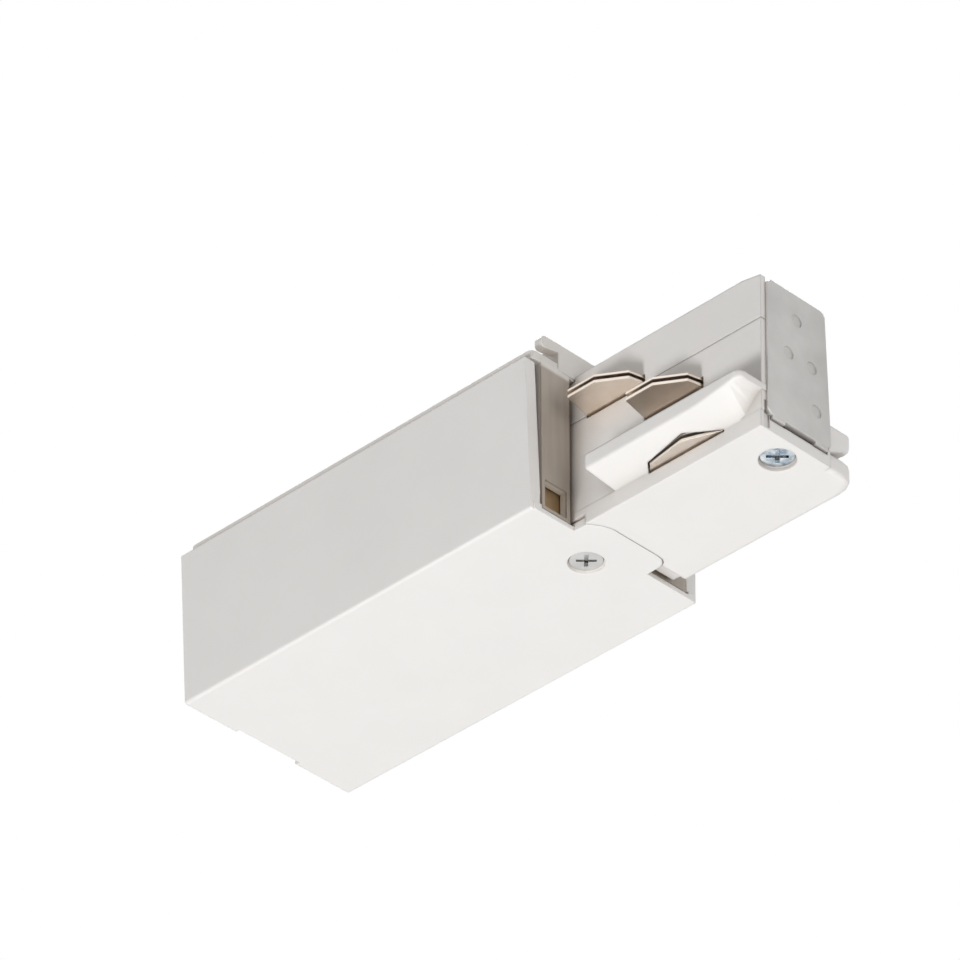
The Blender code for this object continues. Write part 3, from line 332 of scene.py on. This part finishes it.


# Plastics: white housings, the tray, the pale cap and the inner mouldings
# Reach, grain relief and edge width are in metres, and roughness runs with the clouds

# Each plastic's crevice colour and share paint shade into its close corners
plastics = {
    "white_moulding": {
        "colour": (0.868, 0.856, 0.842), "cloudColour": (0.850, 0.838, 0.824),
        "creviceShadeColour": (0.80, 0.70, 0.60), "reach": 0.004, "creviceShadeShare": 0.5,
        "roughness": (0.36, 0.46), "grainSize": 2600, "grainRelief": 0.000006,
        "edgeWidth": 0.00025, "edgeHighlight": 0.25, "subsurface": 0.05,
    },
    # Painted shadow: a dark crevice colour over a wide reach, for the shadows by the blades and the panel
    "adapter_moulding": {
        "colour": (0.872, 0.858, 0.842), "cloudColour": (0.853, 0.839, 0.822),
        "creviceShadeColour": (0.45, 0.38, 0.33), "reach": 0.007, "creviceShadeShare": 0.9,
        "roughness": (0.34, 0.44), "grainSize": 2600, "grainRelief": 0.000005,
        "edgeWidth": 0.00045, "edgeHighlight": 0.3, "subsurface": 0.08,
    },
    "tray_moulding": {
        "colour": (0.790, 0.765, 0.735), "cloudColour": (0.760, 0.735, 0.700),
        "creviceShadeColour": (0.66, 0.55, 0.46), "reach": 0.004, "creviceShadeShare": 0.2,
        "roughness": (0.32, 0.46), "grainSize": 2200, "grainRelief": 0.000005,
        "edgeWidth": 0.0002, "edgeHighlight": 0.35, "subsurface": 0.1,
        "tintedEnd": True,
    },
    "grey_cap": {
        "colour": (0.720, 0.712, 0.698), "cloudColour": (0.570, 0.561, 0.546),
        "creviceShadeColour": (0.62, 0.56, 0.50), "reach": 0.003, "creviceShadeShare": 0.4,
        "roughness": (0.30, 0.42), "grainSize": 1500, "grainRelief": 0.000008,
        "edgeWidth": 0.00025, "edgeHighlight": 0.35, "subsurface": 0.12,
    },
    "clamp_moulding": {
        "colour": (0.800, 0.790, 0.745), "cloudColour": (0.770, 0.758, 0.710),
        "creviceShadeColour": (0.60, 0.52, 0.43), "reach": 0.004, "creviceShadeShare": 0.5,
        "roughness": (0.42, 0.54), "grainSize": 2600, "grainRelief": 0.000006,
        "edgeWidth": 0.0002, "edgeHighlight": 0.25, "subsurface": 0.05,
    },
    "terminal_moulding": {
        "colour": (0.810, 0.800, 0.755), "cloudColour": (0.780, 0.768, 0.720),
        "creviceShadeColour": (0.60, 0.52, 0.43), "reach": 0.004, "creviceShadeShare": 0.5,
        "roughness": (0.42, 0.54), "grainSize": 2600, "grainRelief": 0.000006,
        "edgeWidth": 0.0002, "edgeHighlight": 0.25, "subsurface": 0.05,
    },
}

everyPlastic = {
    # painted highlight: plastic edges are lightened towards this colour
    "edgeColour": (0.93, 0.92, 0.905),
    "reliefStrength": 0.35,
    "scatter": (1.0, 0.8, 0.6),    # how far red, green and blue spread under the skin, of the depth
    "scatterDepth": 0.0012,
}

# Painted shade on the tray's end plate at the back of the cover's mouth
endFaceShade = {
    "beyond": (0.0177, 0.0179),    # x over which the painted shade comes in
    "below": (0.0272, 0.0266),     # z over which it comes in
    "tint": (0.535, 0.480, 0.425),
    "stretch": (900.0, 900.0, 60.0),
    "detail": 3.0,
    "noiseRange": (0.3, 0.7),
    "share": (1.0, 0.86),          # of the painted shade between the streaks and in them
}


def tintEndFace(tree, colour):
    # Painted shade: the tray's end plate, deep in the cover's mouth, is darkened to a warm brown with
    # vertical streaks
    place = objectPlace(tree)
    axes = addNode(tree, "ShaderNodeSeparateXYZ", [("Vector", place)]).outputs
    across = mapRange(tree, axes["X"], endFaceShade["beyond"])
    under = mapRange(tree, axes["Z"], endFaceShade["below"])
    streaks = addNoise(tree, stretched(tree, place, endFaceShade["stretch"]), 1.0, endFaceShade["detail"])
    strong = mapRange(tree, streaks, endFaceShade["noiseRange"], endFaceShade["share"])
    share = calculate(tree, "MULTIPLY", calculate(tree, "MULTIPLY", across, under), strong)
    return mixColour(tree, share, colour, endFaceShade["tint"], "MULTIPLY")


def makePlastic(name, look):
    material, tree, shader = newMaterial(name)
    skin = useGroup(tree, skinGroup, grainSize=look["grainSize"], cloudSize=effects["cloudSize"])
    edge = useGroup(tree, edgeGroup, width=look["edgeWidth"])
    creviceShade = useGroup(tree, creviceShadeGroup, reach=look["reach"])
    body = mixColour(tree, skin["cloud"], look["colour"], look["cloudColour"])
    # Painted highlight: sharp edges are lightened towards the edge colour
    highlighted = mixColour(tree, mapRange(tree, edge["edge"], target=(0.0, look["edgeHighlight"])), body,
                       everyPlastic["edgeColour"])
    # Painted shade: close corners and crevices are darkened towards the crevice colour
    shaded = mixColour(tree, mapRange(tree, creviceShade["depth"], target=(0.0, look["creviceShadeShare"])), highlighted,
                       look["creviceShadeColour"], "MULTIPLY")
    # Painted shade on the tray's end plate
    if "tintedEnd" in look:
        shaded = tintEndFace(tree, shaded)
    tree.links.new(shaded, shader.inputs["Base Color"])
    tree.links.new(mapRange(tree, skin["cloud"], target=look["roughness"]), shader.inputs["Roughness"])
    addRelief(tree, shader, skin["grain"], everyPlastic["reliefStrength"], look["grainRelief"],
              edge["normal"])
    shader.inputs["Subsurface Weight"].default_value = look["subsurface"]
    shader.inputs["Subsurface Radius"].default_value = everyPlastic["scatter"]
    shader.inputs["Subsurface Scale"].default_value = everyPlastic["scatterDepth"]
    return material


# Metals: plated strips, brass cages and the screws
# Relief and edge width are in metres, and roughness runs with the rolling lines

# Where an edge colour is lighter than its metal it is a painted highlight; on the strips and the grey
# screw the edges are darker
metals = {
    "nickel_strip": {
        "colour": (0.920, 0.830, 0.740), "blotchAndReflectionColour": (0.840, 0.740, 0.640),
        "roughness": (0.25, 0.33), "stretch": (90.0, 4200.0, 4200.0), "relief": 0.0000004,
        "edgeColour": (0.28, 0.23, 0.19), "edgeWidth": 0.00012,
    },
    "brass_strip": {
        "colour": (0.520, 0.390, 0.235), "blotchAndReflectionColour": (0.430, 0.310, 0.180),
        "roughness": (0.26, 0.42), "stretch": (90.0, 4200.0, 4200.0), "relief": 0.0000008,
        "edgeColour": (0.30, 0.22, 0.13), "edgeWidth": 0.00012,
        "plating": (0.835, 0.765, 0.695),
    },
    "cage_brass": {
        "colour": (0.680, 0.510, 0.260), "blotchAndReflectionColour": (0.590, 0.430, 0.210),
        "roughness": (0.24, 0.40), "stretch": (2600.0, 90.0, 2600.0), "relief": 0.000004,
        "edgeColour": (0.80, 0.64, 0.36), "edgeWidth": 0.0001,
    },
    "zinc_screw": {
        "colour": (0.640, 0.665, 0.690), "blotchAndReflectionColour": (0.540, 0.575, 0.610),
        "roughness": (0.20, 0.36), "stretch": (1400.0, 1400.0, 500.0), "relief": 0.000004,
        "edgeColour": (0.86, 0.88, 0.90), "edgeWidth": 0.0001,
    },
    # Painted reflection: a very bright colour with large dark blue blotches stands in for the bright and
    # dark reflections in the screw's cross
    "lock_zinc": {
        "colour": (0.860, 0.905, 0.930), "blotchAndReflectionColour": (0.200, 0.280, 0.350), "blotchSize": 620.0,
        "roughness": (0.14, 0.30), "stretch": (1400.0, 1400.0, 500.0), "relief": 0.000005,
        "edgeColour": (0.92, 0.95, 0.98), "edgeWidth": 0.0001,
    },
    "grey_screw": {
        "colour": (0.700, 0.695, 0.680), "blotchAndReflectionColour": (0.580, 0.575, 0.560),
        "roughness": (0.34, 0.52), "stretch": (1400.0, 1400.0, 500.0), "relief": 0.000005,
        "edgeColour": (0.62, 0.62, 0.62), "edgeWidth": 0.0001,
    },
}

everyMetal = {
    "blotchSize": 260.0,           # where a metal has none of its own
    "edgeShare": 0.7,
    "reliefStrength": 0.4,
    "platedFrom": (0.0300, 0.0305),    # x over which a plating comes in
}


def makeMetal(name, look):
    material, tree, shader = newMaterial(name)
    metal = useGroup(tree, metalGroup, stretch=look["stretch"],
                     blotchSize=look.get("blotchSize", everyMetal["blotchSize"]))
    edge = useGroup(tree, edgeGroup, width=look["edgeWidth"])
    colour = mixColour(tree, metal["blotchAndReflection"], look["colour"], look["blotchAndReflectionColour"])
    if "plating" in look:
        axes = addNode(tree, "ShaderNodeSeparateXYZ", [("Vector", objectPlace(tree))]).outputs
        plated = mapRange(tree, axes["X"], everyMetal["platedFrom"])
        colour = mixColour(tree, plated, colour, look["plating"])
    # The edge colour is a painted highlight on the cage and the zinc and lock screws; on the strips and
    # the grey screw the edges are darker
    rim = mixColour(tree, mapRange(tree, edge["edge"], target=(0.0, everyMetal["edgeShare"])), colour,
                    look["edgeColour"])
    tree.links.new(rim, shader.inputs["Base Color"])
    tree.links.new(mapRange(tree, metal["lines"], target=look["roughness"]), shader.inputs["Roughness"])
    addRelief(tree, shader, metal["lines"], everyMetal["reliefStrength"], look["relief"], edge["normal"])
    shader.inputs["Metallic"].default_value = 1.0
    return material


finishes = {name: makePlastic(name, look) for name, look in plastics.items()}
finishes.update({name: makeMetal(name, look) for name, look in metals.items()})
slotOf = {row["node"]: row["material_slot"] for row in frame["record"]["subparts"]}
for node, thing in frame["nodes"].items():
    for place in thing.material_slots:
        place.material = finishes[slotOf[node]]
print("finishes ready:", len(finishes))


# Mouldings whose sharp edges get a real small radius, as the mould gives them

softened = {
    "nodes": {                     # node: (edge radius, growth across the object), in metres
        "adapter_end_cap": (0.00018, 0.00030),
        "adapter_lower": (0.00014, 0.0),
        "adapter_upper": (0.00014, 0.0),
        "cover": (0.00018, 0.0),
        "base_tray": (0.00014, 0.0),
    },
    "weld": 0.000002,              # metres, the least distance between two points
    "flat": 0.5,                   # degrees between two triangles that count as one face
    "faceOn": 0.95,                # how squarely a face must look along an axis to grow that way
    "broad": 0.000003,             # square metres, the least face that grows
    "growFrom": 0.0550,            # x beyond which a face grows, so the cap's pins keep their size
    "sharp": 32,                   # degrees between two faces that count as an edge
    "steps": 2,
    "roundness": 0.5,              # a round section
    "evenness": 100,               # how much more a broad face counts in the shading
}


def growSideways(shape, growth):
    for axis in (1, 2):
        for turn in (-1, 1):
            grown = {vert for face in shape.faces for vert in face.verts
                     if face.normal[axis] * turn > softened["faceOn"]
                     and face.calc_area() > softened["broad"]
                     and face.calc_center_median().x > softened["growFrom"]}
            for vert in grown:
                vert.co[axis] += turn * growth


def evenShading(piece):
    # Broad faces stay plain, and only the edges turn
    even = piece.modifiers.new("even", "WEIGHTED_NORMAL")
    even.weight = softened["evenness"]
    graph = bpy.context.evaluated_depsgraph_get()
    piece.data = bpy.data.meshes.new_from_object(piece.evaluated_get(graph))
    piece.modifiers.remove(even)


def softenNode(name, radius, growth):
    shape = bmesh.new()
    shape.from_mesh(frame["nodes"][name].data)
    bmesh.ops.remove_doubles(shape, verts=shape.verts, dist=softened["weld"])
    bmesh.ops.dissolve_limit(shape, angle_limit=math.radians(softened["flat"]), verts=shape.verts,
                             edges=shape.edges)
    growSideways(shape, growth)
    sharp = [edge for edge in shape.edges
             if len(edge.link_faces) == 2 and edge.calc_face_angle(0) > math.radians(softened["sharp"])]
    bmesh.ops.bevel(shape, geom=sharp, offset=radius, offset_type="OFFSET", segments=softened["steps"],
                    profile=softened["roundness"], affect="EDGES", clamp_overlap=True)
    bmesh.ops.triangulate(shape, faces=shape.faces)
    mesh = meshFrom(shape, f"{name}_soft")
    mesh.materials.append(finishes[slotOf[name]])
    mesh.shade_smooth()
    piece = addObject(f"{name}_soft", mesh)
    evenShading(piece)
    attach(piece, name if name in frame["bodies"] else "housing")
    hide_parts(name)


for node, sizes in softened["nodes"].items():
    softenNode(node, *sizes)
print("edges softened:", len(softened["nodes"]))


# The earth strip's folded foot, the brown sheet that shows behind the tray's window

earthFold = {
    "route": ((0.0152, -0.0141), (0.0165, -0.0141), (0.0165, -0.00905)),     # x, y along the fold
    "levels": (0.0029, 0.0088),
    "thickness": 0.00015,
    "edgeShare": 0.25,             # edge radius, of the thickness
    "edgeSteps": 2,
}


def makeEarthFold():
    shape = bmesh.new()
    foot, top = earthFold["levels"]
    low = [shape.verts.new((x, y, foot)) for x, y in earthFold["route"]]
    high = [shape.verts.new((x, y, top)) for x, y in earthFold["route"]]
    for here in range(len(low) - 1):
        shape.faces.new((low[here], low[here + 1], high[here + 1], high[here]))
    bmesh.ops.recalc_face_normals(shape, faces=shape.faces)
    mesh = meshFrom(shape, "earth_fold")
    mesh.materials.append(finishes["brass_strip"])
    fold = addObject("earth_fold", mesh)
    thick = fold.modifiers.new("thickness", "SOLIDIFY")
    thick.thickness = earthFold["thickness"]
    thick.offset = 0
    rounded = fold.modifiers.new("edges", "BEVEL")
    rounded.width = earthFold["thickness"] * earthFold["edgeShare"]
    rounded.segments = earthFold["edgeSteps"]
    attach(fold, "housing")


makeEarthFold()
print("earth strip folded")


# Screw threads: a ridge wound round each shank by Geometry Nodes

threads = {
    "sides": 6,                    # of the ridge's section
    "stepsPerTurn": 24,
    "runOut": 14.0,                # how steeply the ridge fades at its ends
    "thinnest": 0.05,              # the ridge at its very ends, of its full size
    "kinds": {                     # from head, from tip, shank radius, pitch, ridge radius, in metres
        "cover_screw": (0.0020, 0.0008, 0.0014, 0.0010, 0.00024),
        "lock_screw": (0.0020, 0.0008, 0.0014, 0.0005, 0.00016),
        "terminal_screw": (0.0016, 0.0006, 0.00125, 0.0005, 0.00016),
        "clamp_screw": (0.0016, 0.0008, 0.0012, 0.00075, 0.00020),
        "adapter_screw": (0.0014, 0.0017, 0.0012, 0.0009, 0.00022),
    },
}


def makeThreadTree():
    # Reversed, the spiral is right-handed
    tree, given, out = newGroup("screwThread",
                                {"Geometry": "Geometry", "Centre": "Vector", "Radius": "Float",
                                 "Height": "Float", "Turns": "Float", "Ridge": "Float",
                                 "Finish": "Material"},
                                {"Geometry": "Geometry"}, kind="GeometryNodeTree")
    helix = addNode(tree, "GeometryNodeCurveSpiral",
                    [("Resolution", threads["stepsPerTurn"]), ("Rotations", given.outputs["Turns"]),
                     ("Start Radius", given.outputs["Radius"]), ("End Radius", given.outputs["Radius"]),
                     ("Height", given.outputs["Height"]), ("Reverse", True)])
    along = addNode(tree, "GeometryNodeSplineParameter").outputs["Factor"]
    rise = calculate(tree, "MULTIPLY", along, threads["runOut"])
    fall = calculate(tree, "MULTIPLY", calculate(tree, "SUBTRACT", 1.0, along), threads["runOut"])
    size = addNode(tree, "ShaderNodeClamp", [("Value", calculate(tree, "MINIMUM", rise, fall)),
                                             ("Min", threads["thinnest"]), ("Max", 1.0)])
    tapered = addNode(tree, "GeometryNodeSetCurveRadius", [("Curve", helix.outputs["Curve"]),
                                                           ("Radius", size.outputs["Result"])])
    section = addNode(tree, "GeometryNodeCurvePrimitiveCircle", [("Resolution", threads["sides"]),
                                                                 ("Radius", given.outputs["Ridge"])])
    skin = addNode(tree, "GeometryNodeCurveToMesh",
                   [("Curve", tapered.outputs["Curve"]), ("Profile Curve", section.outputs["Curve"]),
                    ("Fill Caps", True)])
    placed = addNode(tree, "GeometryNodeTransform", [("Geometry", skin.outputs["Mesh"]),
                                                     ("Translation", given.outputs["Centre"])])
    real = addNode(tree, "GeometryNodeRealizeInstances", [("Geometry", placed.outputs["Geometry"])])
    dressed = addNode(tree, "GeometryNodeSetMaterial", [("Geometry", real.outputs["Geometry"]),
                                                        ("Material", given.outputs["Finish"])])
    tree.links.new(dressed.outputs["Geometry"], out.inputs["Geometry"])
    return tree


threadTree = makeThreadTree()


def socketName(tree, title):
    return next(item.identifier for item in tree.interface.items_tree
                if item.name == title and item.in_out == "INPUT")


def windThread(screw, fromHead, fromTip, shank, pitch, ridge):
    low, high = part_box(screw)
    headUp = screw.startswith("adapter")          # the adapter's screws go in from above
    foot = low[2] + (fromTip if headUp else fromHead)
    top = high[2] - (fromHead if headUp else fromTip)
    carrier = addObject(f"{screw}_carrier", bpy.data.meshes.new(f"{screw}_carrier"))
    wound = carrier.modifiers.new("thread", "NODES")
    wound.node_group = threadTree
    centre = ((low[0] + high[0]) / 2, (low[1] + high[1]) / 2, foot)
    values = {"Centre": centre, "Radius": shank, "Height": top - foot,
              "Turns": (top - foot) / pitch, "Ridge": ridge, "Finish": finishes[slotOf[screw]]}
    for title, value in values.items():
        wound[socketName(threadTree, title)] = value
    graph = bpy.context.evaluated_depsgraph_get()
    mesh = bpy.data.meshes.new_from_object(carrier.evaluated_get(graph))
    bpy.data.objects.remove(carrier, do_unlink=True)
    mesh.shade_smooth()
    thread = addObject(f"{screw}_thread", mesh)
    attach(thread, screw if screw in frame["bodies"] else "housing")


for screw in sorted(frame["nodes"]):
    kind = screw.rstrip("_12345")                 # a screw's number isn't part of its kind
    if kind in threads["kinds"]:
        windThread(screw, *threads["kinds"][kind])
print("threads wound")
